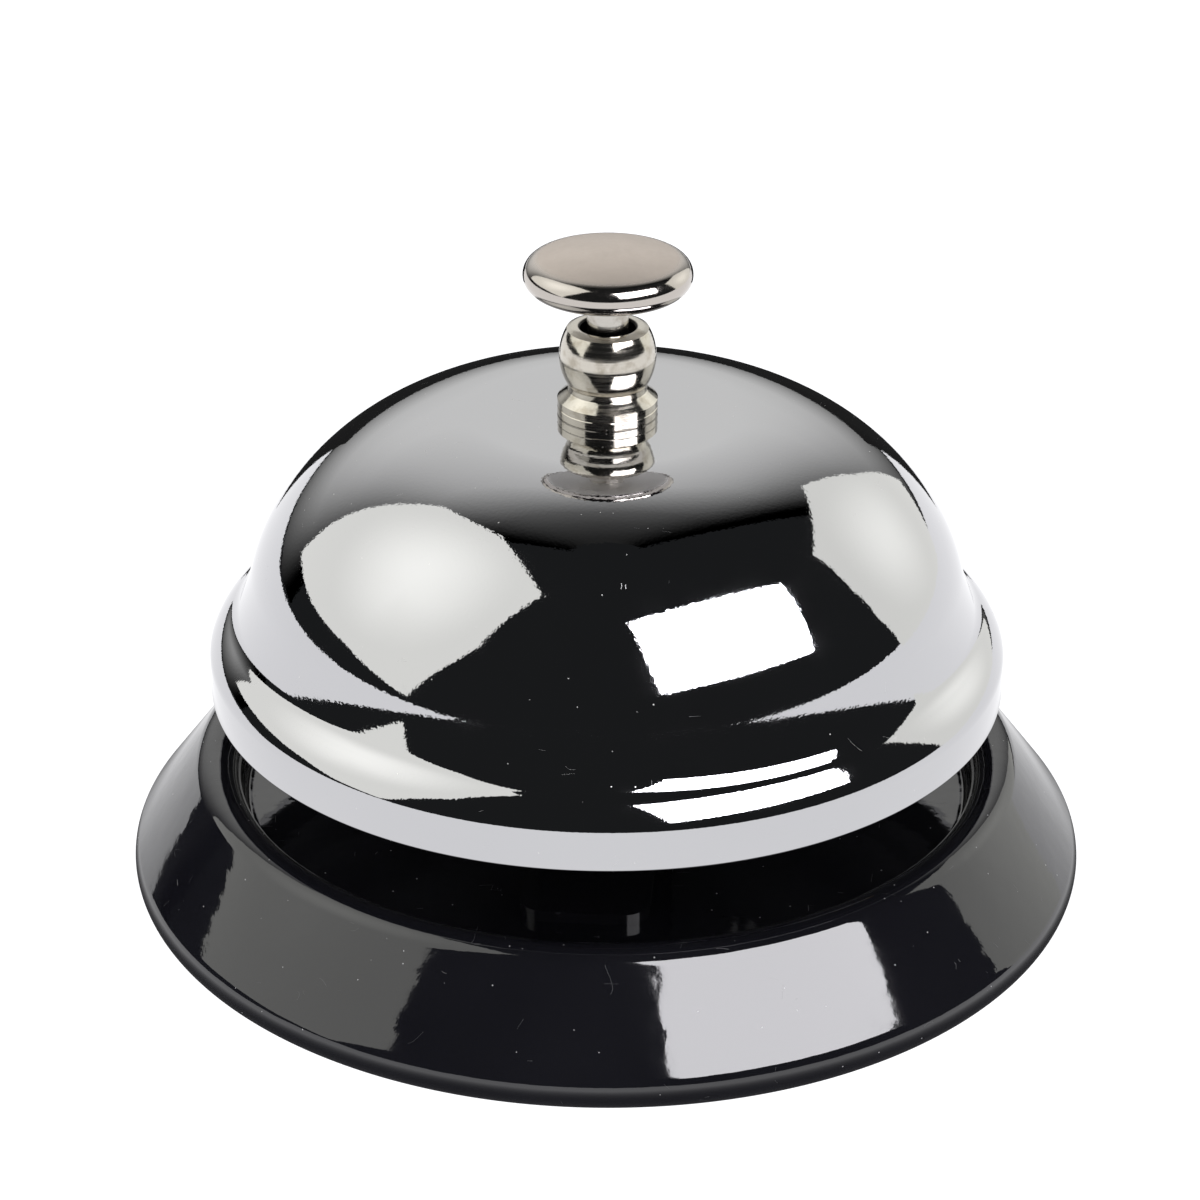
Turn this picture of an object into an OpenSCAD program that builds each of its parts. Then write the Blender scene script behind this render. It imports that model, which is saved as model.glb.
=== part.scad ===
// Counter service bell with a push button, hollow stem, tall inner frame and a pivoted striker.
// Millimetres, Z up, resting on Z = 0, bell axis on X = Y = 0. The striker swings in the XZ plane.

/* [Base] */
// Outer diameter of the flared base at its rolled hem
base_d = 84.9; // [80:0.1:102]
// Height of the well floor inside the base, top face
floor_z = 7.2; // [6.4:0.1:8]
// Height of the rounded lip round the well
lip_z = 11.8; // [10.8:0.1:13]
// Thickness of the base sheet steel
base_t = 0.8; // [0.6:0.05:1]
// Thickness of the anti-slip pad under the base
pad_t = 1.5; // [1.3:0.1:1.6]

/* [Bell] */
// Outer diameter of the bell at its plain rim band
bell_d = 69.8; // [58:0.1:76]
// Height of the lower edge of the bell above the table
rim_z = 18.75; // [17:0.05:22]
// Height of the plain band at the rim
band_h = 3.15; // [2.6:0.05:3.6]
// Radius of the bell's rounded shoulder
shoulder_r = 21.75; // [18.5:0.05:24]
// Wall thickness of the bell
bell_t = 0.8; // [0.6:0.05:1]

/* [Button and stem] */
// Diameter of the push button
button_d = 14.38; // [12:0.1:18]
// Full stroke of the push button
travel = 3; // [2.4:0.05:3.6]
// Diameter of the plunger rod below the neck
rod_d = 2.2; // [1.8:0.05:2.5]
// Diameter of the plunger neck under the button
neck_d = 3.56; // [3.2:0.02:4]
// Outer diameter of the threaded hollow stem
post_d = 6; // [5.6:0.05:7.2]
// Greatest diameter of the turned bell nut
nut_d = 8.6; // [8.4:0.1:11]

/* [Striker and frame] */
// Width of the steel frame strap
strap_w = 11; // [9.5:0.1:13]
// Thickness of the frame strap
strap_t = 1; // [0.8:0.05:1.2]
// Sideways distance of the pivot pin from the bell axis
pivot_x = 7; // [6.2:0.1:8]
// Diameter of the pivot pin and of the stop pin
pin_d = 2; // [1.6:0.05:2.4]
// Diameter of the striker head
head_d = 5.6; // [4.6:0.1:6.4]
// Gap left between the striker head and the bell at full stroke
strike_gap = 0.5; // [0.3:0.05:1]

/* [Fits] */
// Radial clearance of running fits
run_gap = 0.06; // [0.03:0.01:0.1]
// Radial clearance of parts that are only assembled, not moving
set_gap = 0.03; // [0.01:0.01:0.05]

/* [Hidden] */

base_black = [0.02, 0.02, 0.022];
chrome = [0.82, 0.83, 0.86];
nickel = [0.74, 0.71, 0.64];
steel = [0.62, 0.63, 0.65];
zinc = [0.7, 0.7, 0.66];

// Base section: two rounded rims joined by a straight flare
hem_r = 2.25;
lip_r = 2.2;
hem_c = [base_d / 2 - hem_r, hem_r + 0.25];
lip_c = [bell_d / 2, lip_z - lip_r];
flare_v = hem_c - lip_c;
flare_l = norm(flare_v);
flare_a = atan2(-flare_v[1], flare_v[0]) - asin((hem_r - lip_r) / flare_l);
flare_n = [sin(flare_a), cos(flare_a)];
well_fillet = 1.2;
well_r = lip_c[0] - lip_r - well_fillet;
fillet_z = floor_z + well_fillet;
plate_t = 0.6;
plate_r = hem_c[0] - 0.6;

// Bell section upwards, all tangent: rim band, corner, ledge, tight cove, long hollow, side, shoulder, crown
corner_r = 1.9;
corner_a = 66;
ledge_a = 36;
cove_r = 2.8;
cove_a = 67;
side_r = 15;
side_a = 75.2;
shoulder_a = 58.26;
band_top = [bell_d / 2, rim_z + band_h];
waist = [bell_d / 2 - 3.9, rim_z + 10.55];
side_c = waist - side_r * normal(side_a);
shoulder_c = side_c - (shoulder_r - side_r) * normal(shoulder_a);
crown_z = shoulder_c[1] + shoulder_r;
// The hollow's and the ledge's radii are the two that close the chain from waist to band
span = band_top - waist - cove_r * (normal(cove_a) - normal(ledge_a)) - corner_r * ([1, 0] - normal(corner_a));
hollow_v = normal(side_a) - normal(cove_a);
ledge_v = normal(corner_a) - normal(ledge_a);
hollow_r = cross(span, ledge_v) / cross(hollow_v, ledge_v);
ledge_r = cross(hollow_v, span) / cross(hollow_v, ledge_v);
corner_c = band_top - [corner_r, 0];
ledge_c = corner_c + (corner_r - ledge_r) * normal(corner_a);
cove_c = ledge_c + (ledge_r + cove_r) * normal(ledge_a);
hollow_c = cove_c + (hollow_r - cove_r) * normal(cove_a);

// Stem stack, from the crown down
post_r = post_d / 2;
washer_t = 0.8;
lock_t = 0.6;
hex_h = 2.6;
hex_r = post_r + 2.2;
seat_r = min(hex_r + 0.3, shoulder_c[0] - 0.2);
crown_in = crown_z - bell_t;
washer_z = crown_in - washer_t;
hex_z = washer_z - hex_h;
frame_top = hex_z - lock_t;
frame_under = frame_top - strap_t;
flange_t = 1.2;
flange_r = post_r + 1.4;
post_z = frame_under - flange_t;
nut_r = max(nut_d / 2, post_r + 1.3);
nut_h = 7.95;
nut_z = crown_z;
nut_mouth = 1.1;
post_top = nut_z + nut_h - nut_mouth;
rod_r = rod_d / 2;
neck_r = neck_d / 2;
bore_r = neck_r + run_gap;
ledge_z = frame_under + 1.4;
shoulder_z = post_top - 2.6;
spring_wire = 0.19;
spring_r = (rod_r + bore_r) / 2;
spring_turns = 7;

// Button and plunger, at rest
button_z = crown_z + nut_h + travel + 0.3;
edge_r = 1.4;
button_top = button_z + 3.55;
edge_c = [button_d / 2 - edge_r, button_z + edge_r];
cap_span = button_top - edge_r - edge_c[1];
cap_c = (button_top - edge_r + edge_c[1] - pow(edge_c[0], 2) / cap_span) / 2;
cap_r = button_top - cap_c;
spigot_r = neck_r - 0.55;
spigot_h = 2;
clip_t = 0.5;
clip_z = post_z - 0.12 - clip_t;
tip_c = clip_z - 0.35;

// Striker: both arms are one strip, cranked at the pivot
swing = 2 * atan(travel / (2 * pivot_x));
crank = 10;
pin_r = pin_d / 2;
eye_r = pin_r + 0.9;
arm_t = 0.9;
arm_top = 1;
tip_gap = 0.08;
pivot_z = tip_c - travel / 2 - (arm_top + rod_r + tip_gap) / cos(swing / 2);
pivot = [pivot_x, pivot_z];
head_r = head_d / 2;
head_h = 2;
head_up = arm_top + head_h;
hit_a = swing / 2 - crank;
rest_a = -swing / 2 - crank;
hit_u = [cos(hit_a), sin(hit_a)];
hit_p = pivot + head_up * [-sin(hit_a), cos(hit_a)] - shoulder_c;
hit_l = shoulder_r - bell_t - head_r - strike_gap;
hit_b = hit_p * hit_u;
reach = sqrt(pow(hit_b, 2) - hit_p * hit_p + pow(hit_l, 2)) - hit_b;
short_l = pivot_x + 2.4;
arm_w = 7;
eye_w = 9;
tail_w = 4.4;
leg_y = strap_w / 2 + 1.2;
stop_d = reach * 0.42;
sleeve_r = pin_r + 0.7;
stop = pivot + stop_d * [cos(rest_a), sin(rest_a)]
       - (arm_t - arm_top + sleeve_r + 0.08) * [-sin(rest_a), cos(rest_a)];
ear_r = pin_r + 1.6;
foot_end = well_r * 0.765;
foot_z = floor_z;
rivet_r = 1.1;
rivet_y = [leg_y + 3.4, leg_y + 8];
bend_r = 0.6;
lap_a = 0.4;
tuck = 0.003;

function normal(a) = [sin(a), cos(a)];

// Pie slice from angle a0 to a1, measured clockwise from straight up
module slice(a0, a1, far) {
  steps = ceil((a1 - a0) / 45);
  polygon(concat([[0, 0]], [for (i = [0:steps]) far * normal(a0 + (a1 - a0) * i / steps)]));
}

// Curved strip of sheet metal in section; a tucked one runs a hair inside its neighbours' ends
module sheet_arc(c, outer, inner, a0, a1, tucked = true) {
  in = tucked ? tuck : 0;
  lap = tucked ? lap_a : 0;
  translate(c) intersection() {
    difference() { circle(outer - in, $fn = 96); circle(inner + in, $fn = 96); }
    slice(a0 - lap, a1 + lap, outer * 1.5);
  }
}

module tube(outer, inner, h) {
  difference() {
    cylinder(r = outer, h = h, $fn = 64);
    translate([0, 0, -1]) cylinder(r = inner, h = h + 2, $fn = 64);
  }
}

// Rod along Y, centred on Y = 0
module cross_rod(r, l) { rotate([90, 0, 0]) cylinder(r = r, h = l, center = true, $fn = 48); }

// Puts a shape drawn about the pivot, with the arm along +X, at its resting angle
module on_arm() { translate([pivot[0], 0, pivot[1]]) rotate([0, -rest_a, 0]) children(); }

module pan_section() {
  lip_t = lip_c + lip_r * flare_n;
  hem_t = hem_c + hem_r * flare_n;
  sheet_arc(hem_c, hem_r, hem_r - base_t, flare_a, 222);
  polygon([lip_t - base_t * flare_n, hem_t - base_t * flare_n, hem_t, lip_t]);
  sheet_arc(lip_c, lip_r, lip_r - base_t, -90, flare_a);
  translate([lip_c[0] - lip_r, fillet_z]) square([base_t, lip_c[1] - fillet_z]);
  sheet_arc([well_r, fillet_z], well_fillet + base_t, well_fillet, 90, 180);
  translate([0, floor_z - base_t]) square([well_r, base_t]);
}

module rivet_spots() {
  for (s = [-1, 1]) for (y = rivet_y) translate([0, s * y, 0]) children();
}

module base_pan() {
  color(base_black) difference() {
    rotate_extrude($fn = 96) pan_section();
    rivet_spots() translate([0, 0, floor_z - 3]) cylinder(r = rivet_r + set_gap, h = 6, $fn = 32);
  }
}

module bottom_plate() {
  color(steel) translate([0, 0, pad_t]) cylinder(r = plate_r, h = plate_t, $fn = 96);
}

module foot_pad() {
  color([0.06, 0.06, 0.06]) cylinder(r = hem_c[0] - hem_r, h = pad_t, $fn = 96);
}

// Hat-shaped strap: two feet, two legs and a bridge, bent from one strip
module strap_section() {
  r_out = bend_r + strap_t;
  for (s = [0, 1]) mirror([s, 0]) {
    translate([0, frame_under]) square([leg_y - bend_r, strap_t]);
    sheet_arc([leg_y - bend_r, frame_under - bend_r], r_out, bend_r, 0, 90);
    translate([leg_y, foot_z + r_out]) square([strap_t, frame_under - bend_r - foot_z - r_out]);
    sheet_arc([leg_y + r_out, foot_z + r_out], r_out, bend_r, 180, 270);
    translate([leg_y + r_out, foot_z]) square([foot_end - leg_y - r_out, strap_t]);
  }
}

// Strap seen from above: straight sides and rounded foot ends
module strap_plan() {
  r = 2.2;
  for (s = [-1, 1]) for (x = [-1, 1]) translate([x * (strap_w / 2 - r), s * (foot_end - r)]) circle(r, $fn = 48);
  square([strap_w, 2 * (foot_end - r)], center = true);
  square([strap_w - 2 * r, 2 * foot_end], center = true);
}

// Ear that carries the pivot pin and the stop pin
module ear() {
  arm = stop - pivot;
  translate(pivot) circle(ear_r, $fn = 48);
  translate(stop) circle(ear_r, $fn = 48);
  translate(pivot) rotate(atan2(arm[1], arm[0])) translate([0, -ear_r]) square([norm(arm), 2 * ear_r]);
  translate([0, pivot[1] - ear_r]) square([pivot[0], 2 * ear_r]);
}

module lever_frame() {
  color(zinc) difference() {
    union() {
      intersection() {
        rotate([90, 0, 90]) translate([0, 0, -strap_w / 2]) linear_extrude(strap_w) strap_section();
        linear_extrude(frame_top + 1) strap_plan();
      }
      for (s = [-1, 1]) translate([0, s * (leg_y + strap_t / 2) + strap_t / 2, 0])
        rotate([90, 0, 0]) linear_extrude(strap_t) ear();
    }
    for (p = [pivot, stop]) translate([p[0], 0, p[1]]) cross_rod(pin_r + set_gap, 3 * leg_y);
    translate([0, 0, frame_under - 1]) cylinder(r = post_r + set_gap, h = strap_t + 2, $fn = 48);
    rivet_spots() translate([0, 0, foot_z - 1]) cylinder(r = rivet_r + set_gap, h = strap_t + 2, $fn = 32);
  }
}

// Round-headed rivet: shank down from z = 0 through a stack of the given thickness
module rivet(r, stack, head, foot) {
  ball = (pow(head, 2) + 1) / 2;
  intersection() {
    translate([0, 0, 1 - ball]) sphere(ball, $fn = 48);
    cylinder(r = head + 1, h = 2, $fn = 48);
  }
  translate([0, 0, -stack - 0.1]) cylinder(r = r, h = stack + 0.2, $fn = 32);
  translate([0, 0, -stack - foot]) cylinder(r = head - 0.3, h = foot, $fn = 48);
}

module frame_rivets() {
  color(steel) rivet_spots() translate([0, 0, foot_z + strap_t]) rivet(rivet_r, strap_t + base_t, 1.9, 0.6);
}

module stem_tube() {
  color(nickel) difference() {
    union() {
      translate([0, 0, post_z]) cylinder(r = post_r, h = post_top - post_z, $fn = 64);
      translate([0, 0, post_z]) cylinder(r = flange_r, h = flange_t, $fn = 64);
    }
    translate([0, 0, post_z - 1]) cylinder(r = rod_r + run_gap, h = post_top, $fn = 48);
    translate([0, 0, ledge_z]) cylinder(r = bore_r, h = post_top, $fn = 48);
  }
}

module lock_washer() {
  color(steel) translate([0, 0, frame_top]) tube(flange_r, post_r + set_gap, lock_t);
}

module stem_nut() {
  color(zinc) translate([0, 0, hex_z]) difference() {
    cylinder(r = hex_r, h = hex_h, $fn = 6);
    translate([0, 0, -1]) cylinder(r = post_r + set_gap, h = hex_h + 2, $fn = 48);
  }
}

module seat_washer() {
  color([0.45, 0.2, 0.12]) translate([0, 0, washer_z]) tube(seat_r, post_r + set_gap, washer_t);
}

module bell_section() {
  translate([bell_d / 2 - bell_t, rim_z]) square([bell_t, band_h]);
  sheet_arc(corner_c, corner_r, corner_r - bell_t, corner_a, 90);
  sheet_arc(ledge_c, ledge_r, ledge_r - bell_t, ledge_a, corner_a, false);
  sheet_arc(cove_c, cove_r + bell_t, cove_r, ledge_a + 180, cove_a + 180);
  sheet_arc(hollow_c, hollow_r + bell_t, hollow_r, cove_a + 180, side_a + 180, false);
  sheet_arc(side_c, side_r, side_r - bell_t, shoulder_a, side_a);
  sheet_arc(shoulder_c, shoulder_r, shoulder_r - bell_t, 0, shoulder_a, false);
  translate([post_r + set_gap, crown_in + tuck])
    square([shoulder_c[0] - post_r - set_gap + 0.1, bell_t - 2 * tuck]);
}

module bell_dome() {
  color(chrome) rotate_extrude($fn = 96) bell_section();
}

// Turned nut: flange, waist and a rounded head round a bored mouth
module nut_section() {
  r = nut_r;
  rim = 1.55;
  waist_r = r - 0.9;
  bulge = 4.88;
  difference() {
    union() {
      square([r, rim]);
      polygon([[0, rim], [r, rim], [waist_r, rim + 0.6], [0, rim + 0.6]]);
      square([waist_r, nut_h - 1.2]);
      intersection() {
        translate([r - 0.15 - bulge, 5.33]) circle(bulge, $fn = 96);
        translate([0, rim]) square([r, nut_h - rim]);
      }
    }
    square([post_r + set_gap, nut_h - nut_mouth]);
    square([neck_r + 0.6, nut_h + 1]);
  }
}

module bell_nut() {
  color(nickel) translate([0, 0, nut_z]) rotate_extrude($fn = 96) nut_section();
}

module button_section() {
  difference() {
    union() {
      translate(edge_c) circle(edge_r, $fn = 64);
      intersection() {
        translate([0, cap_c]) circle(cap_r, $fn = 96);
        polygon([[0, button_z], [edge_c[0], button_z], edge_c,
                 [0, cap_c] + (edge_c - [0, cap_c]) * 1.3, [0, button_top + 5]]);
      }
    }
    translate([0, button_z - 1]) square([spigot_r + set_gap, spigot_h + 1]);
  }
}

module push_button() {
  color(nickel) rotate_extrude($fn = 96) button_section();
}

module plunger_rod() {
  color(nickel) difference() {
    union() {
      translate([0, 0, tip_c]) sphere(rod_r, $fn = 48);
      translate([0, 0, tip_c]) cylinder(r = rod_r, h = shoulder_z - tip_c + 0.5, $fn = 48);
      translate([0, 0, shoulder_z]) cylinder(r = neck_r, h = button_z - shoulder_z, $fn = 48);
      translate([0, 0, shoulder_z]) cylinder(r = spigot_r, h = button_z + spigot_h - 0.1 - shoulder_z, $fn = 48);
    }
    translate([0, 0, clip_z - 0.03]) tube(rod_r + 1, rod_r - 0.35, clip_t + 0.06);
  }
}

module plunger_clip() {
  color(steel) translate([0, 0, clip_z]) difference() {
    tube(rod_r + 1.1, rod_r - 0.33, clip_t);
    translate([-4, -rod_r * 0.6, -1]) cube([4, rod_r * 1.2, 3]);
  }
}

// Helical wire between two heights, swept as a closed mesh
module coil(r, wire, z0, z1, turns) {
  per = 24;
  n = turns * per;
  k = 8;
  rings = [for (i = [0:n]) [for (j = [0:k - 1])
    let (a = 360 * i / per, b = 360 * j / k, q = r + wire * cos(b))
      [q * cos(a), q * sin(a), z0 + (z1 - z0) * i / n + wire * sin(b)]]];
  points = [for (ring = rings) for (p = ring) p];
  sides = [for (i = [0:n - 1]) for (j = [0:k - 1])
    [i * k + j, (i + 1) * k + j, (i + 1) * k + (j + 1) % k, i * k + (j + 1) % k]];
  first = [for (j = [0:k - 1]) j];
  last = [for (j = [k - 1:-1:0]) n * k + j];
  polyhedron(points, concat(sides, [first, last]), convexity = 10);
}

module return_spring() {
  color(steel) coil(spring_r, spring_wire, ledge_z + spring_wire + 0.02,
                    shoulder_z - spring_wire - 0.02, spring_turns);
}

// Strip between two distances from the pivot, on the side of the arm that faces up
module strip(x0, x1, w) { translate([x0, -w / 2, arm_top - arm_t]) cube([x1 - x0, w, arm_t]); }

module striker_arm() {
  color(zinc) on_arm() difference() {
    union() {
      cross_rod(eye_r, eye_w);
      strip(0, reach - head_r, tail_w);
      strip(0, stop_d + 1, arm_w);
      translate([reach, 0, arm_top - arm_t]) cylinder(r = head_r - 0.4, h = arm_t, $fn = 48);
      strip(reach - head_r - 0.1, reach, tail_w - 0.8);
      rotate([0, -2 * crank, 0]) strip(-short_l, 0, arm_w);
    }
    cross_rod(pin_r + run_gap, eye_w + 2);
    translate([reach, 0, -2]) cylinder(r = 1 + set_gap, h = 5, $fn = 32);
  }
}

module striker_head() {
  color([0.72, 0.6, 0.32]) on_arm() translate([reach, 0, arm_top]) difference() {
    union() {
      cylinder(r = head_r, h = head_h, $fn = 64);
      translate([0, 0, head_h]) sphere(head_r, $fn = 64);
    }
    translate([0, 0, -head_r]) cylinder(r = head_r + 1, h = head_r, $fn = 64);
    translate([0, 0, -1]) cylinder(r = 1 + set_gap, h = head_h + 1, $fn = 32);
  }
}

module head_rivet() {
  color(steel) on_arm() translate([reach, 0, arm_top - arm_t]) {
    translate([0, 0, -0.6]) cylinder(r = 1.8, h = 0.6, $fn = 48);
    translate([0, 0, -0.1]) cylinder(r = 1, h = arm_t + head_h, $fn = 32);
  }
}

// Headed pin through both legs; the far end is grooved for a clip
module leg_pin(p, groove) {
  half = leg_y + strap_t;
  translate([p[0], 0, p[1]]) difference() {
    union() {
      rotate([90, 0, 0]) translate([0, 0, -half - 1.4]) cylinder(r = pin_r, h = 2 * half + 1.4, $fn = 48);
      rotate([90, 0, 0]) translate([0, 0, half]) cylinder(r = pin_r + 0.8, h = 0.8, $fn = 48);
    }
    if (groove) translate([0, half + 0.68, 0]) rotate([90, 0, 0])
      tube(pin_r + 1, pin_r - 0.3, 0.56);
  }
}

module pivot_pin() { color(steel) leg_pin(pivot, true); }

module pin_spacers() {
  inner = eye_w / 2 + 0.1;
  color(zinc) for (s = [-1, 1]) translate([pivot[0], s * (inner + leg_y - 0.05) / 2, pivot[1]])
    rotate([90, 0, 0]) translate([0, 0, -(leg_y - 0.05 - inner) / 2])
      tube(eye_r - 0.2, pin_r + set_gap, leg_y - 0.05 - inner);
}

module pin_clip() {
  color(steel) translate([pivot[0], leg_y + strap_t + 0.65, pivot[1]]) rotate([90, 0, 0]) difference() {
    tube(pin_r + 0.9, pin_r - 0.28, 0.5);
    translate([-pin_r * 0.6, -4, -1]) cube([pin_r * 1.2, 4, 3]);
  }
}

module stop_pin() { color(steel) leg_pin(stop, false); }

module stop_sleeve() {
  color([0.08, 0.08, 0.08]) translate([stop[0], 0, stop[1]]) difference() {
    cross_rod(sleeve_r, 2 * leg_y - 0.4);
    cross_rod(pin_r + set_gap, 2 * leg_y + 2);
  }
}

base_pan();
bottom_plate();
foot_pad();
lever_frame();
frame_rivets();
stem_tube();
lock_washer();
stem_nut();
seat_washer();
bell_dome();
bell_nut();
push_button();
plunger_rod();
plunger_clip();
return_spring();
striker_arm();
striker_head();
head_rivet();
pivot_pin();
pin_spacers();
pin_clip();
stop_pin();
stop_sleeve();
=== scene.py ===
"""Counter service bell: detailed pieces, finishes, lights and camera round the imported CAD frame.

Profiles are (radius, height) in millimetres about the bell's axis, and angles are degrees clockwise
from straight up. Scene units are metres, Z up. The bell rests on Z = 0 and its axis is the Z axis.
"""
import math

import bmesh
import bpy
from mathutils import Matrix, Vector


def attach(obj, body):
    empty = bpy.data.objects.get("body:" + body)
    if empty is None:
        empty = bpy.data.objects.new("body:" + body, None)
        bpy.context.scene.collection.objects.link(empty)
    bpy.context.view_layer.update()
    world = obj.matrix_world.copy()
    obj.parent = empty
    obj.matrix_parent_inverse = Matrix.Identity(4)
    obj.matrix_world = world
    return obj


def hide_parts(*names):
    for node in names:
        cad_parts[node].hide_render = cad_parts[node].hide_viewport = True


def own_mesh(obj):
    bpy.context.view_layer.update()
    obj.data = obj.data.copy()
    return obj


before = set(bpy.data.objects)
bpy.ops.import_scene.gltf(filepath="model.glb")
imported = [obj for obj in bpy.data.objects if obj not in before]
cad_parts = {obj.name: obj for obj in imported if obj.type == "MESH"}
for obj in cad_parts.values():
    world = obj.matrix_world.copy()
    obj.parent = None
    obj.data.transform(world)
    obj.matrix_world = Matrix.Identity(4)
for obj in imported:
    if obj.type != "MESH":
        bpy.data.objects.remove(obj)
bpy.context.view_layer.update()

MM = 0.001
TURN = 4.8  # degrees the camera stands round the bell from the -Y axis
EYE = (-0.60, -276.74, 164.58)  # camera place before that turn, mm
PITCH, ROLL, LENS = 26.66, 0.15, 105.64
CENTRE = Vector((0, 0, 35 * MM))  # where light directions are measured from


# ---------------------------------------------------------------- shapes

def polar(c, r, a):
    """Point at angle a on the circle of radius r about c."""
    return (c[0] + r * math.sin(math.radians(a)), c[1] + r * math.cos(math.radians(a)))


def arc(c, r, a0, a1, step=2.0):
    n = max(2, math.ceil(abs(a1 - a0) / step))
    return [polar(c, r, a0 + (a1 - a0) * i / n) for i in range(n + 1)]


def finish_mesh(name, bm, sharp=32):
    """Turns a bmesh in millimetres into a smooth-shaded object in metres."""
    bmesh.ops.remove_doubles(bm, verts=bm.verts, dist=1e-4)
    bmesh.ops.recalc_face_normals(bm, faces=bm.faces)
    bmesh.ops.scale(bm, vec=(MM, MM, MM), verts=bm.verts)
    mesh = bpy.data.meshes.new(name)
    bm.to_mesh(mesh)
    bm.free()
    mesh.shade_smooth()
    mesh.set_sharp_from_angle(angle=math.radians(sharp))
    obj = bpy.data.objects.new(name, mesh)
    bpy.context.scene.collection.objects.link(obj)
    return obj


def grid_faces(bm, rows, close_rows):
    """Quads between neighbouring rings; the rings themselves are closed loops."""
    pairs = list(zip(rows, rows[1:])) + ([(rows[-1], rows[0])] if close_rows else [])
    for a, b in pairs:
        n = max(len(a), len(b))
        for i in range(n):
            j = (i + 1) % n
            ring = [a[i % len(a)], a[j % len(a)], b[j % len(b)], b[i % len(b)]]
            corners = list(dict.fromkeys(ring))
            if len(corners) > 2:
                bm.faces.new(corners)


def ring(bm, r, z, around):
    """Vertices round Z at one height. The radius is a number, or one number for each vertex."""
    radii = r if isinstance(r, list) else [r] * around
    turn = [2 * math.pi * i / around for i in range(around)]
    return [bm.verts.new((q * math.cos(t), q * math.sin(t), z)) for q, t in zip(radii, turn)]


def lathe(name, profile, segments=192, closed=True):
    """Turns a profile round Z. A closed profile joins its last point to its first."""
    bm = bmesh.new()
    rows = [[bm.verts.new((0, 0, z))] if r < 1e-6 else ring(bm, r, z, segments) for r, z in profile]
    grid_faces(bm, rows, closed)
    return finish_mesh(name, bm)


def place(obj, body, *nodes):
    """The piece rides on a body and stands for CAD nodes, which are hidden."""
    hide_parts(*nodes)
    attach(obj, body)
    return obj


# Bell shell, all tangent: flat crown, shoulder, side, long hollow, tight cove, ledge, corner and rim band
SHELL_T = 0.8
RIM_R, RIM_Z, BAND_H = 34.9, 18.75, 3.15
SHOULDER_R, SIDE_R, HOLLOW_R, COVE_R, LEDGE_R, CORNER_R = 21.75, 15.0, 25.527, 2.8, 4.982, 1.9
SHOULDER_A, SIDE_A, COVE_A, LEDGE_A, CORNER_A = 58.26, 75.2, 67, 36, 66
WAIST = (RIM_R - 3.9, RIM_Z + 10.55)
SIDE_C = polar(WAIST, -SIDE_R, SIDE_A)
SHOULDER_C = polar(SIDE_C, SIDE_R - SHOULDER_R, SHOULDER_A)
HOLLOW_C = polar(WAIST, HOLLOW_R, SIDE_A)
COVE_C = polar(HOLLOW_C, COVE_R - HOLLOW_R, COVE_A)
LEDGE_C = polar(COVE_C, -COVE_R - LEDGE_R, LEDGE_A)
CORNER_C = polar(LEDGE_C, LEDGE_R - CORNER_R, CORNER_A)
CROWN_Z = SHOULDER_C[1] + SHOULDER_R
HOLE_R = 3.03


def shell_side(inset, step):
    """Points from the crown to the rim band, at a depth below the outer face."""
    return ([(SHOULDER_C[0] * k / 6 + HOLE_R * (1 - k / 6), CROWN_Z - inset) for k in range(6)]
            + arc(SHOULDER_C, SHOULDER_R - inset, 0, SHOULDER_A, step)
            + arc(SIDE_C, SIDE_R - inset, SHOULDER_A, SIDE_A, step)[1:]
            + arc(HOLLOW_C, HOLLOW_R + inset, SIDE_A + 180, COVE_A + 180, step / 3)[1:]
            + arc(COVE_C, COVE_R + inset, COVE_A + 180, LEDGE_A + 180, 2 * step)[1:]
            + arc(LEDGE_C, LEDGE_R - inset, LEDGE_A, CORNER_A, 2 * step)[1:]
            + arc(CORNER_C, CORNER_R - inset, CORNER_A, 90, 2 * step)[1:])


def make_bell():
    edge = 0.22
    rim = (arc((RIM_R - edge, RIM_Z + edge), edge, 90, 180, 15)
           + arc((RIM_R - SHELL_T + edge, RIM_Z + edge), edge, 180, 270, 15))
    profile = shell_side(0, 1.0) + rim + shell_side(SHELL_T, 1.0)[::-1]
    return lathe("bell_shell", profile, 320)


# Base: rolled hem, straight flare, rounded lip, well wall, fillet and floor
PAN_T = 0.8
HEM_C, HEM_R, HEM_END = (40.2, 2.5), 2.25, 222
LIP_C, LIP_R = (34.9, 9.6), 2.2
FLARE_A = 52.94
FILLET_C, FILLET_R = (31.5, 8.4), 1.2
FLOOR_Z = 7.2


def make_base():
    outer = (arc(HEM_C, HEM_R, HEM_END, FLARE_A, 3)
             + arc(LIP_C, LIP_R, FLARE_A, -90, 3)
             + arc(FILLET_C, FILLET_R, 90, 180, 6)
             + [(r, FLOOR_Z) for r in (24, 16, 8)] + [(0, FLOOR_Z)])
    inner = ([(0, FLOOR_Z - PAN_T)]
             + arc(FILLET_C, FILLET_R + PAN_T, 180, 90, 6)
             + arc(LIP_C, LIP_R - PAN_T, -90, FLARE_A, 4)
             + arc(HEM_C, HEM_R - PAN_T, FLARE_A, HEM_END, 4))
    return lathe("base_shell", outer + inner, 288)


# Turned nut: flange, chamfer, waist, rounded head and bored mouth
NUT_H, NUT_R, NUT_WAIST = 7.95, 4.3, 3.4
BULGE_C, BULGE_R = (-0.73, 5.33), 4.88
STEM_R, NECK_R = 3.0, 1.78


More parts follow.
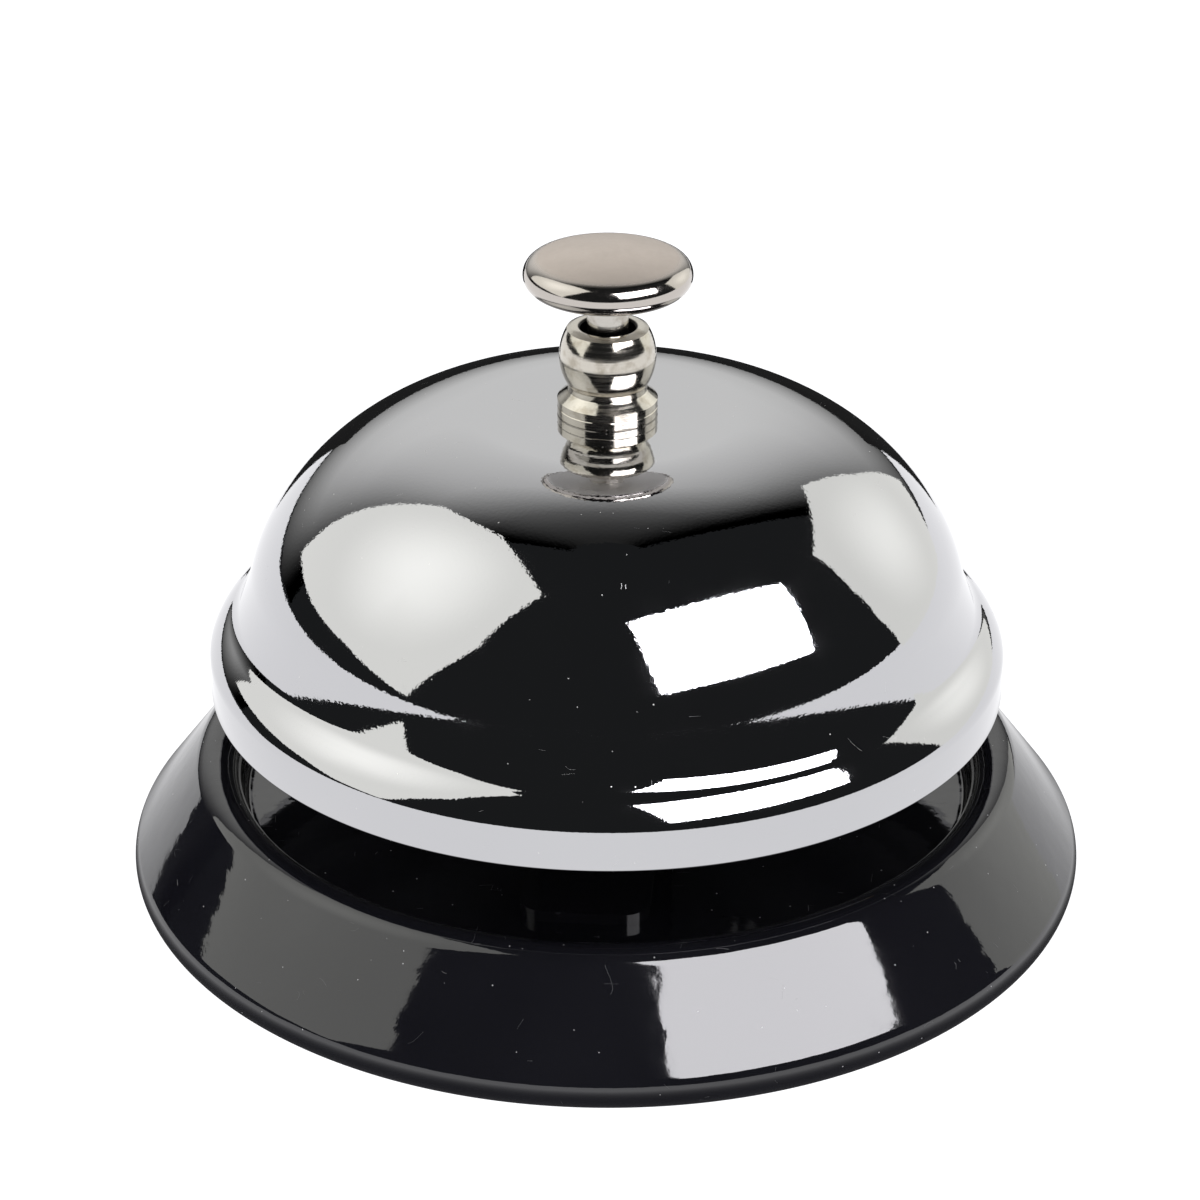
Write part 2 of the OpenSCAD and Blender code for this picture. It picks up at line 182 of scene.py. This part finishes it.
def make_nut():
    start = 180 - math.degrees(math.asin((NUT_WAIST - BULGE_C[0]) / BULGE_R))
    end = math.degrees(math.acos((NUT_H - 0.18 - BULGE_C[1]) / BULGE_R))
    mouth = NECK_R + 0.6
    profile = ([(STEM_R + 0.03, 0), (NUT_R - 0.1, 0), (NUT_R, 0.1), (NUT_R, 0.7), (NUT_R - 0.05, 0.76),
                (NUT_R, 0.82), (NUT_R, 1.45), (NUT_R - 0.1, 1.55), (NUT_WAIST + 0.12, 2.1),
                (NUT_WAIST, 2.24)]
               + arc(BULGE_C, BULGE_R, start, end, 3)
               + [(3.2, NUT_H - 0.05), (3.05, NUT_H), (mouth + 0.16, NUT_H), (mouth, NUT_H - 0.16),
                  (mouth, NUT_H - 1.1), (STEM_R + 0.03, NUT_H - 1.1)])
    return lathe("turned_nut", [(r, z + CROWN_Z) for r, z in profile], 160)


# Button, plunger and stem
BUTTON_Z, BUTTON_TOP, BUTTON_R, EDGE_R = 54.917, 58.467, 7.19, 1.4
SPIGOT_R, SPIGOT_H = 1.23, 2.0
ROD_R, TIP_Z, NECK_Z = 1.1, 35.697, 47.917
GROOVE = (36.017, 36.577)
STEM_Z, FLANGE_T, FLANGE_R, LEDGE_Z, STEM_TOP = 36.667, 1.2, 4.4, 39.267, 50.517


def make_button():
    edge_c = (BUTTON_R - EDGE_R, BUTTON_Z + EDGE_R)
    span = BUTTON_TOP - EDGE_R - edge_c[1]
    cap_c = (BUTTON_TOP - EDGE_R + edge_c[1] - edge_c[0] ** 2 / span) / 2
    meet = math.degrees(math.atan2(edge_c[0], edge_c[1] - cap_c))
    bore = SPIGOT_R + 0.03
    profile = ([(0, BUTTON_Z + SPIGOT_H), (bore, BUTTON_Z + SPIGOT_H), (bore, BUTTON_Z)]
               + arc(edge_c, EDGE_R, 180, meet, 5)
               + arc((0, cap_c), BUTTON_TOP - cap_c, meet, 0, 1.2)[1:-1] + [(0, BUTTON_TOP)])
    return lathe("button_cap", profile, 160, closed=False)


def make_rod():
    groove_r, chamfer, spigot_top = ROD_R - 0.35, 0.12, BUTTON_Z + SPIGOT_H - 0.1
    profile = ([(0, TIP_Z - ROD_R)] + arc((0, TIP_Z), ROD_R, 180, 90, 6)[1:]
               + [(ROD_R, GROOVE[0]), (groove_r, GROOVE[0]), (groove_r, GROOVE[1]), (ROD_R, GROOVE[1]),
                  (ROD_R, NECK_Z), (NECK_R - chamfer, NECK_Z), (NECK_R, NECK_Z + chamfer), (NECK_R, BUTTON_Z),
                  (SPIGOT_R, BUTTON_Z), (SPIGOT_R, spigot_top), (0, spigot_top)])
    return lathe("push_rod", profile, 96, closed=False)


def make_stem():
    """Hollow stem with a real helical thread cut a little way into its outside."""
    pitch, depth, around, per_pitch = 0.75, 0.32, 72, 10
    z0, z1 = STEM_Z + FLANGE_T + 0.3, STEM_TOP - 0.25
    chamfer, gap = 0.15, 0.06  # on the flange's edges, and round the plunger
    bm = bmesh.new()

    def thread(z):
        fade = min(1, (z - z0) / 0.6, (z1 - z) / 0.5)
        phases = ((z / pitch - i / around) % 1 for i in range(around))
        return [STEM_R - depth * fade * (1 - abs(2 * phase - 1)) for phase in phases]

    flange = [(ROD_R + gap, STEM_Z), (FLANGE_R - chamfer, STEM_Z), (FLANGE_R, STEM_Z + chamfer),
              (FLANGE_R, STEM_Z + FLANGE_T - chamfer), (FLANGE_R - chamfer, STEM_Z + FLANGE_T),
              (STEM_R, STEM_Z + FLANGE_T)]
    steps = round((z1 - z0) / pitch * per_pitch)
    threaded = [(thread(z), z) for z in (z0 + (z1 - z0) * i / steps for i in range(steps + 1))]
    bore = [(STEM_R - 0.18, STEM_TOP), (NECK_R + gap + 0.1, STEM_TOP), (NECK_R + gap, STEM_TOP - 0.1),
            (NECK_R + gap, LEDGE_Z), (ROD_R + gap, LEDGE_Z)]
    rows = [ring(bm, r, z, around) for r, z in flange + threaded + bore]
    grid_faces(bm, rows, True)
    return finish_mesh("threaded_stem", bm)


def make_spring():
    """Round wire coil between the stem's inner ledge and the shoulder of the plunger."""
    radius, wire, turns, around, sides = 1.47, 0.19, 7.0, 40, 12
    z0, z1 = LEDGE_Z + wire + 0.02, NECK_Z - wire - 0.02
    bm = bmesh.new()
    rows = []
    n = int(turns * around)
    for i in range(n + 1):
        t = 2 * math.pi * i / around
        centre = Vector((radius * math.cos(t), radius * math.sin(t), z0 + (z1 - z0) * i / n))
        out = Vector((math.cos(t), math.sin(t), 0))
        rise = (z1 - z0) / (2 * math.pi * turns)
        along = Vector((-radius * math.sin(t), radius * math.cos(t), rise)).normalized()
        up = along.cross(out)
        rows.append([bm.verts.new(centre + wire * (math.cos(a) * out + math.sin(a) * up))
                     for a in (2 * math.pi * k / sides for k in range(sides))])
    grid_faces(bm, rows, False)
    bm.faces.new(rows[0])
    bm.faces.new(rows[-1])
    return finish_mesh("coil_spring", bm)


def make_hex_nut():
    """Hexagon nut with its corners chamfered top and bottom."""
    z0, z1, across, bore, around = 39.467, 42.067, 5.2, STEM_R + 0.03, 96
    flat = across * math.cos(math.radians(30))
    bm = bmesh.new()

    def outline(z):
        """Hexagon, cut by a cone near its two ends."""
        cone = flat - 0.08 + min(z - z0, z1 - z) * 1.9
        sides = ((math.degrees(2 * math.pi * i / around) % 60) - 30 for i in range(around))
        return [min(flat / math.cos(math.radians(side)), cone) for side in sides]

    levels = [0, 0.05, 0.12, 0.2, 0.28, 0.36, 0.44]
    outside = [(outline(z), z) for z in [z0 + k for k in levels] + [z1 - k for k in reversed(levels)]]
    inside = [(bore + 0.25, z1), (bore, z1 - 0.25), (bore, z0 + 0.25), (bore + 0.25, z0)]
    rows = [ring(bm, r, z, around) for r, z in outside + inside]
    grid_faces(bm, rows, True)
    return finish_mesh("hex_nut", bm, sharp=22)


# ---------------------------------------------------------------- finishes

class Finish:
    """A material's node graph, with object coordinates in millimetres."""

    def __init__(self, name, **sockets):
        self.material = bpy.data.materials.new(name)
        self.material.use_nodes = True
        self.tree = self.material.node_tree
        self.bsdf = self.tree.nodes["Principled BSDF"]
        for key, value in sockets.items():
            self.bsdf.inputs[key.replace("_", " ")].default_value = value
        self.coords = self.add("ShaderNodeTexCoord")
        self.mm = self.vector("SCALE", self.coords.outputs["Object"], scale=1000)

    def add(self, kind, **settings):
        node = self.tree.nodes.new(kind)
        for key, value in settings.items():
            setattr(node, key, value)
        return node

    def put(self, socket, value):
        if isinstance(value, bpy.types.NodeSocket):
            self.tree.links.new(value, socket)
        else:
            socket.default_value = value

    def vector(self, operation, a, b=None, scale=None):
        node = self.add("ShaderNodeVectorMath", operation=operation)
        self.put(node.inputs[0], a)
        if b is not None:
            self.put(node.inputs[1], b)
        if scale is not None:
            node.inputs["Scale"].default_value = scale
        return node.outputs["Value" if operation in ("LENGTH", "DOT_PRODUCT") else "Vector"]

    def math(self, operation, a, b=0.0):
        node = self.add("ShaderNodeMath", operation=operation)
        self.put(node.inputs[0], a)
        self.put(node.inputs[1], b)
        return node.outputs[0]

    def noise(self, scale, detail=2.0, stretch=None, bend=0.0):
        """Noise of a number of features per millimetre, stretched along axes if asked."""
        node = self.add("ShaderNodeTexNoise")
        where = self.mm if stretch is None else self.vector("MULTIPLY", self.mm, stretch)
        self.put(node.inputs["Vector"], where)
        node.inputs["Scale"].default_value = scale
        node.inputs["Detail"].default_value = detail
        node.inputs["Distortion"].default_value = bend
        return node.outputs["Fac"]

    def span(self, value, low, high, to_low=0.0, to_high=1.0):
        node = self.add("ShaderNodeMapRange", interpolation_type="SMOOTHSTEP")
        for socket, given in zip(node.inputs, (value, low, high, to_low, to_high)):
            self.put(socket, given)
        return node.outputs["Result"]

    def mix(self, factor, a, b):
        node = self.add("ShaderNodeMix", data_type="RGBA")
        self.put(node.inputs["Factor"], factor)
        for socket, colour in zip((s for s in node.inputs if s.type == "RGBA"), (a, b)):
            self.put(socket, colour if isinstance(colour, bpy.types.NodeSocket) else (*colour, 1))
        return next(s for s in node.outputs if s.type == "RGBA")

    def radius(self):
        """Distance from the bell's axis, mm."""
        return self.vector("LENGTH", self.vector("MULTIPLY", self.mm, (1, 1, 0)))

    def height(self):
        node = self.add("ShaderNodeSeparateXYZ")
        self.put(node.inputs[0], self.mm)
        return node.outputs["Z"]

    def facing_in(self, point):
        """1 where the surface looks towards a point inside the piece, 0 on its outside."""
        out = self.vector("SUBTRACT", self.mm, point)
        return self.math("LESS_THAN", self.vector("DOT_PRODUCT", self.coords.outputs["Normal"], out), 0.0)

    def specks(self, cell, size, share):
        """Scattered dust specks: 1 on a speck, 0 elsewhere."""
        node = self.add("ShaderNodeTexVoronoi")
        self.put(node.inputs["Vector"], self.mm)
        node.inputs["Scale"].default_value = 1 / cell
        near = self.math("LESS_THAN", node.outputs["Distance"], size / cell)
        chosen = self.math("LESS_THAN", self.split_red(node.outputs["Color"]), share)
        return self.math("MULTIPLY", near, chosen)

    def split_red(self, colour):
        node = self.add("ShaderNodeSeparateColor")
        self.put(node.inputs[0], colour)
        return node.outputs[0]

    def hairlines(self, stretch, scale, width, keep):
        """Fine scratches: thin level lines of a stretched noise, kept only in patches."""
        value = self.noise(scale, 0.0, stretch)
        line = self.math("LESS_THAN", self.math("ABSOLUTE", self.math("SUBTRACT", value, 0.5)), width)
        patch = self.math("GREATER_THAN", self.noise(0.45, 1.0), keep)
        return self.math("MULTIPLY", line, patch)

    def bump(self, *layers):
        """Stacks (height, depth in mm) layers into the normal."""
        normal = None
        for value, depth in layers:
            node = self.add("ShaderNodeBump")
            node.inputs["Distance"].default_value = depth * MM
            self.put(node.inputs["Height"], value)
            if normal is not None:
                self.put(node.inputs["Normal"], normal)
            normal = node.outputs["Normal"]
        self.put(self.bsdf.inputs["Normal"], normal)

    def colour(self, value):
        self.put(self.bsdf.inputs["Base Color"], value)

    def roughness(self, value):
        self.put(self.bsdf.inputs["Roughness"], value)


def chrome():
    """Bright plate outside the bell, and dull, unpolished plate inside it whose near-black colour is painted
    shade in the bell's hollow.
    """
    f = Finish("bright_chrome", Metallic=1.0)
    inside = f.facing_in((0, 0, 25))
    dust = f.specks(1.5, 0.06, 0.6)
    marks = f.math("MAXIMUM", f.hairlines((1, 0.08, 0.9), 0.4, 0.001, 0.7),
                   f.hairlines((0.07, 1, 0.7), 0.5, 0.001, 0.7))
    tint = f.mix(f.noise(0.06), (0.5, 0.5, 0.515), (0.53, 0.53, 0.54))
    outside = f.mix(f.math("MAXIMUM", dust, f.math("MULTIPLY", marks, 0.4)), tint, (0.75, 0.75, 0.74))
    # painted shade: inside the bell the colour is near-black (0.05 to 0.09); the raised roughness there is
    # the duller plate
    f.colour(f.mix(inside, outside, f.mix(f.noise(0.3, 3), (0.05, 0.05, 0.052), (0.09, 0.09, 0.09))))
    wear = f.math("ADD", f.span(f.noise(0.25, 3), 0.3, 0.8, 0.015, 0.05),
                  f.math("MULTIPLY", f.math("MAXIMUM", dust, marks), 0.4))
    f.roughness(f.math("MAXIMUM", wear, f.math("MULTIPLY", inside, 0.5)))
    f.bump((f.noise(3.5, 1), 0.0024), (f.noise(0.12, 1), 0.004))
    return f.material


def enamel():
    """Glossy black enamel with soft waves in it, dusty and a little worn at the foot."""
    f = Finish("black_enamel", IOR=1.55, Specular_IOR_Level=0.7)
    dust = f.specks(1.3, 0.06, 0.6)
    marks = f.math("MAXIMUM", f.hairlines((1, 0.08, 1), 0.35, 0.0012, 0.69),
                   f.hairlines((0.08, 1, 1), 0.45, 0.0012, 0.69))
    body = f.mix(f.noise(0.08), (0.004, 0.004, 0.006), (0.009, 0.009, 0.012))
    worn = f.math("MULTIPLY", f.span(f.height(), 1.4, 0.2), f.span(f.noise(0.8, 3), 0.5, 0.7, 0, 0.5))
    body = f.mix(worn, body, (0.05, 0.05, 0.055))
    f.colour(f.mix(f.math("MAXIMUM", dust, f.math("MULTIPLY", marks, 0.2)), body, (0.35, 0.35, 0.36)))
    f.roughness(f.math("ADD", f.span(f.noise(0.2, 3), 0.3, 0.75, 0.025, 0.07),
                       f.math("MULTIPLY", f.math("MAXIMUM", dust, marks), 0.4)))
    f.bump((f.noise(1.3, 2), 0.004), (f.noise(0.4, 1), 0.022), (f.noise(0.1, 1), 0.07))
    return f.material


def turned(name, light, dark, rough, line_scale=7.0, painted_mouth_shade=False):
    """Turned and plated metal: fine tool lines round the axis and a few dull patches.

    A piece so flagged gets painted shade: it is near-black and rougher inside the mouth that the plunger runs
    in.
    """
    f = Finish(name, Metallic=1.0)
    lines = f.noise(line_scale, 2, (0.03, 0.03, 1))
    stain = f.span(f.noise(0.9, 3), 0.45, 0.75)
    colour = f.mix(stain, light, dark)
    roughness = f.math("ADD", f.span(lines, 0.3, 0.7, rough, rough + 0.1), f.math("MULTIPLY", stain, 0.06))
    if painted_mouth_shade:
        # painted shade: the mouth the plunger runs in is painted near-black and made rougher
        mouth = f.math("MULTIPLY", f.span(f.radius(), 2.62, 2.46), f.span(f.height(), 49.6, 50.2))
        colour = f.mix(mouth, colour, (0.012, 0.011, 0.01))
        roughness = f.math("ADD", roughness, f.math("MULTIPLY", mouth, 0.3))
    f.colour(colour)
    f.roughness(roughness)
    f.bump((lines, 0.0025), (f.noise(0.5, 2), 0.004))
    return f.material


def button_metal():
    """Nickel plate, bright at the edge, satin on the crown, and dull underneath, where the pale colour is
    painted light.
    """
    f = Finish("satin_nickel", Metallic=1.0)
    crown = f.math("MULTIPLY", f.span(f.radius(), 6.6, 5.7), f.span(f.height(), 57.0, 57.5))
    # painted light: the underside is painted pale and made duller, so the shaded space under the button reads
    # lighter
    painted_light_under = f.span(f.height(), 55.1, 54.95)
    grain = f.noise(9.0, 3)
    tone = f.mix(f.noise(0.5, 3), (0.69, 0.61, 0.545), (0.61, 0.54, 0.48))
    f.colour(f.mix(painted_light_under, f.mix(crown, (0.5, 0.465, 0.43), tone), (0.85, 0.83, 0.8)))
    f.roughness(f.math("ADD", f.span(f.noise(2.0, 2), 0.3, 0.7, 0.07, 0.12),
                       f.math("ADD", f.math("MULTIPLY", crown, 0.32), f.math("MULTIPLY", painted_light_under, 0.4))))
    f.bump((f.math("MULTIPLY", grain, crown), 0.004), (f.noise(0.35, 1), 0.004))
    return f.material


def plated(name, light, dark, rough):
    """Barrel plated steel: mottled tone, soft dents and fine grain."""
    f = Finish(name, Metallic=1.0)
    mottle = f.span(f.noise(0.8, 4), 0.35, 0.7)
    f.colour(f.mix(mottle, light, dark))
    f.roughness(f.span(f.noise(2.2, 3), 0.3, 0.75, rough, rough + 0.18))
    f.bump((f.noise(6.0, 3), 0.003), (f.noise(0.6, 2), 0.01))
    return f.material


def lacquer():
    """Black lacquer on the inner strap, rubbed grey in places."""
    f = Finish("black_lacquer", IOR=1.5)
    rubbed = f.math("MULTIPLY", f.span(f.noise(0.35, 3), 0.66, 0.8), 0.5)
    f.colour(f.mix(rubbed, (0.007, 0.007, 0.009), (0.04, 0.04, 0.042)))
    f.roughness(f.span(f.noise(0.7, 2), 0.3, 0.75, 0.1, 0.2))
    f.bump((f.noise(3.0, 2), 0.002), (f.noise(0.3, 1), 0.015))
    return f.material


def dull(name, light, dark, rough, grain, depth):
    """Matt non-metal: rubber, foam or fibre."""
    f = Finish(name)
    f.colour(f.mix(f.noise(0.4, 4), light, dark))
    f.roughness(f.span(f.noise(1.5, 3), 0.3, 0.75, rough, rough + 0.15))
    f.bump((f.noise(grain, 4), depth))
    return f.material


# ---------------------------------------------------------------- pieces

nickel = turned("bright_nickel", (0.56, 0.53, 0.47), (0.42, 0.385, 0.32), 0.07, painted_mouth_shade=True)
stem_nickel = turned("stem_nickel", (0.5, 0.48, 0.44), (0.36, 0.33, 0.28), 0.16, painted_mouth_shade=True)
rod_nickel = turned("rod_nickel", (0.52, 0.5, 0.46), (0.38, 0.35, 0.3), 0.12)
steel = plated("plain_steel", (0.5, 0.5, 0.52), (0.36, 0.36, 0.38), 0.22)
zinc = plated("zinc_plate", (0.56, 0.56, 0.54), (0.4, 0.41, 0.42), 0.26)
spring_steel = plated("spring_steel", (0.3, 0.3, 0.32), (0.2, 0.2, 0.22), 0.2)
brass = turned("brass_head", (0.7, 0.52, 0.24), (0.5, 0.34, 0.14), 0.16, 5.0)
rubber = dull("black_rubber", (0.02, 0.02, 0.02), (0.035, 0.035, 0.036), 0.6, 5.0, 0.02)
foam = dull("foam_pad", (0.018, 0.018, 0.019), (0.04, 0.04, 0.042), 0.75, 3.0, 0.06)
fibre = dull("fibre_washer", (0.24, 0.07, 0.035), (0.16, 0.045, 0.025), 0.55, 8.0, 0.01)

spring = place(make_spring(), "base", "return_spring")
pieces = [
    (place(make_bell(), "base", "bell_dome"), chrome()),
    (place(make_base(), "base", "base_pan"), enamel()),
    (place(make_nut(), "base", "bell_nut"), nickel),
    (place(make_button(), "plunger", "push_button"), button_metal()),
    (place(make_rod(), "plunger", "plunger_rod"), rod_nickel),
    (place(make_stem(), "base", "stem_tube"), stem_nickel),
    (place(make_hex_nut(), "base", "stem_nut"), zinc),
    (spring, steel),
]
for piece, material in pieces:
    piece.data.materials.append(material)
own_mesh(spring)

kept = {
    "bottom_plate": steel, "foot_pad": foam, "lever_frame": lacquer(), "frame_rivets": steel,
    "lock_washer": steel, "seat_washer": fibre, "plunger_clip": spring_steel, "striker_arm": zinc,
    "striker_head": brass, "head_rivet": steel, "pivot_pin": steel, "pin_spacers": zinc,
    "pin_clip": spring_steel, "stop_pin": steel, "stop_sleeve": rubber,
}
for name, material in kept.items():
    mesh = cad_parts[name].data
    mesh.materials.clear()
    mesh.materials.append(material)


# ---------------------------------------------------------------- stage

def aim(azimuth, elevation):
    """Direction from the bell: azimuth 0 is towards the camera and 90 to its right."""
    a, e = math.radians(azimuth + TURN), math.radians(elevation)
    return Vector((math.sin(a) * math.cos(e), -math.cos(a) * math.cos(e), math.sin(e)))


def glow(name, colour, low, high, hot=None, spread=1.0):
    """Emission that rises from low to high near the hot direction."""
    f = Finish(name)
    light = f.add("ShaderNodeEmission")
    light.inputs["Color"].default_value = (*colour, 1)
    strength = high
    if hot is not None:
        away = f.vector("LENGTH", f.vector("SUBTRACT", f.mm, tuple(p / MM for p in hot)))
        strength = f.span(away, 0, spread, high, low)
    f.put(light.inputs["Strength"], strength)
    out = f.tree.nodes["Material Output"]
    f.put(out.inputs["Surface"], light.outputs[0])
    return f.material


def stage_mesh(name, verts, faces, material, shown=False, lights=True):
    mesh = bpy.data.meshes.new(name)
    mesh.from_pydata([tuple(v) for v in verts], [], faces)
    mesh.materials.append(material)
    obj = bpy.data.objects.new(name, mesh)
    bpy.context.scene.collection.objects.link(obj)
    obj.visible_camera = shown
    obj.visible_diffuse = lights
    obj.visible_shadow = shown
    return obj


def soft_box(name, corners, far, material, lights=True):
    """Flat-sided light whose outline runs through the given directions."""
    rim = [CENTRE + far * aim(*c) for c in corners]
    middle = sum(rim, Vector()) / len(rim)
    faces = [(0, i + 1, (i + 1) % len(rim) + 1) for i in range(len(rim))]
    return stage_mesh(name, [middle, *rim], faces, material, lights=lights)


def screen_faces(rows, columns):
    """Quads of a grid of points given row by row."""
    return [(r * columns + i, r * columns + i + 1, (r + 1) * columns + i + 1, (r + 1) * columns + i)
            for r in range(rows - 1) for i in range(columns - 1)]


def band(name, radius, azimuths, heights, material, steps=24, lights=False):
    """Upright curved screen behind the bell."""
    cols = [azimuths[0] + (azimuths[1] - azimuths[0]) * i / steps for i in range(steps + 1)]
    verts = [aim(a, 0) * radius + Vector((0, 0, h)) for h in heights for a in cols]
    return stage_mesh(name, verts, screen_faces(len(heights), len(cols)), material, lights=lights)


def backdrop_glow():
    """Light grey screen that fades out upwards and to both sides, by direction from the bell."""
    f = Finish("backdrop_glow")
    toward = f.vector("NORMALIZE", f.vector("SUBTRACT", f.mm, tuple(c / MM for c in CENTRE)))
    node = f.add("ShaderNodeSeparateXYZ")
    f.put(node.inputs[0], toward)
    ramp = f.add("ShaderNodeValToRGB")
    stops = [(0, 0.2), (6, 0.5), (13, 0.85), (20, 0.95), (26, 0.97), (36, 0.86), (42, 0.8), (48, 0.72),
             (54, 0.5), (58, 0.35), (64, 0.16), (71, 0.08), (80, 0.03)]
    for element in list(ramp.color_ramp.elements)[1:]:
        ramp.color_ramp.elements.remove(element)
    for i, (elevation, level) in enumerate(stops):
        at = math.sin(math.radians(elevation))
        element = ramp.color_ramp.elements[0] if i == 0 else ramp.color_ramp.elements.new(at)
        element.position = at
        element.color = (level, level, level * 0.985, 1)
    f.put(ramp.inputs[0], node.outputs["Z"])
    level_way = f.vector("NORMALIZE", f.vector("MULTIPLY", toward, (1, 1, 0)))
    across = f.vector("DOT_PRODUCT", level_way, tuple(aim(186, 0)))
    light = f.add("ShaderNodeEmission")
    f.put(light.inputs["Color"], ramp.outputs["Color"])
    f.put(light.inputs["Strength"], f.span(across, math.cos(math.radians(54)), 1.03))
    f.put(f.tree.nodes["Material Output"].inputs["Surface"], light.outputs[0])
    return f.material


def make_backdrop():
    """Part of a sphere behind the bell, from just above the table to nearly overhead."""
    azimuths = [128 + 116 * i / 48 for i in range(49)]
    elevations = [82 * j / 24 for j in range(25)]
    verts = [CENTRE + 0.75 * aim(a, e) for e in elevations for a in azimuths]
    faces = screen_faces(len(elevations), len(azimuths))
    return stage_mesh("backdrop", verts, faces, backdrop_glow(), lights=False)


def make_stage():
    """Evenly lit floor with a painted contact shadow, dark next to the base in reflections only, with the
    soft boxes and a black card.
    """
    f = Finish("pale_floor")
    light = f.add("ShaderNodeEmission")
    f.put(light.inputs["Color"], f.mix(f.noise(0.02), (1.0, 1.0, 1.02), (1.02, 1.02, 1.035)))
    reflected = f.add("ShaderNodeLightPath").outputs["Is Glossy Ray"]
    # painted shadow: the floor's glow drops next to the base for reflected rays only
    shade = f.span(f.radius(), 43, 54, 1.08, 0.0)
    f.put(light.inputs["Strength"], f.math("SUBTRACT", 1.15, f.math("MULTIPLY", shade, reflected)))
    f.put(f.tree.nodes["Material Output"].inputs["Surface"], light.outputs[0])
    half = 1.5
    low = -0.05 * MM  # just clear of the foot pad, so the two faces don't mix
    stage_mesh("floor", [(-half, -half, low), (half, -half, low), (half, half, low), (-half, half, low)],
               [(0, 1, 2, 3)], f.material, shown=True)
    far = 0.7
    warm, cool = (1.0, 1.0, 0.955), (1.0, 0.99, 1.03)
    left = [(-126, 9), (-137, 50), (-121, 67), (-41, 66), (-47, 38), (-61, 1), (-87, 9)]
    soft_box("left_box", left, far,
             glow("left_glow", warm, 1.25, 1.95, CENTRE + far * aim(-92, 44), 350))
    right = [(144, 39), (145, 21), (149, 2.5), (138, -2), (136, -3), (100, -3), (97, 14), (98, 28), (106, 43)]
    soft_box("right_box", right, far,
             glow("right_glow", warm, 1.15, 1.6, CENTRE + far * aim(124, 20), 260))
    key = [(10, 58), (85, 48), (70, 22), (17, 22.5)]
    soft_box("key_box", key, far, glow("key_glow", cool, 9.0, 9.0), lights=False)
    card = Finish("black_card", Roughness=0.9, Specular_IOR_Level=0.0)
    card.colour(card.mix(card.noise(0.05), (0.012, 0.012, 0.012), (0.02, 0.02, 0.02)))
    band("horizon_card", 0.13, (149, 211), (0.0005, 0.047), card.material)


def make_world():
    """White to the eye and to matt surfaces, dark in reflections, as in a tent with black flags."""
    world = bpy.data.worlds.new("studio")
    world.use_nodes = True
    tree = world.node_tree
    tree.nodes.clear()
    paths = tree.nodes.new("ShaderNodeLightPath")
    white, dark = (tree.nodes.new("ShaderNodeBackground") for _ in range(2))
    white.inputs["Color"].default_value = (1.0, 1.0, 1.0, 1)
    white.inputs["Strength"].default_value = 1.1
    dark.inputs["Color"].default_value = (0.9, 0.95, 1.0, 1)
    dark.inputs["Strength"].default_value = 0.02
    both = tree.nodes.new("ShaderNodeMixShader")
    out = tree.nodes.new("ShaderNodeOutputWorld")
    tree.links.new(paths.outputs["Is Glossy Ray"], both.inputs[0])
    tree.links.new(white.outputs[0], both.inputs[1])
    tree.links.new(dark.outputs[0], both.inputs[2])
    tree.links.new(both.outputs[0], out.inputs[0])
    bpy.context.scene.world = world


def make_camera():
    data = bpy.data.cameras.new("camera")
    data.sensor_width = 36.0
    data.lens = LENS
    data.clip_start = 0.01
    cam = bpy.data.objects.new("camera", data)
    bpy.context.scene.collection.objects.link(cam)
    around = Matrix.Rotation(math.radians(TURN), 4, "Z")
    cam.matrix_world = (around @ Matrix.Translation(Vector(EYE) * MM)
                        @ Matrix.Rotation(math.radians(90 - PITCH), 4, "X")
                        @ Matrix.Rotation(math.radians(ROLL), 4, "Z"))
    bpy.context.scene.camera = cam


make_stage()
make_backdrop()
make_world()
make_camera()
bpy.context.scene.view_settings.view_transform = "Standard"
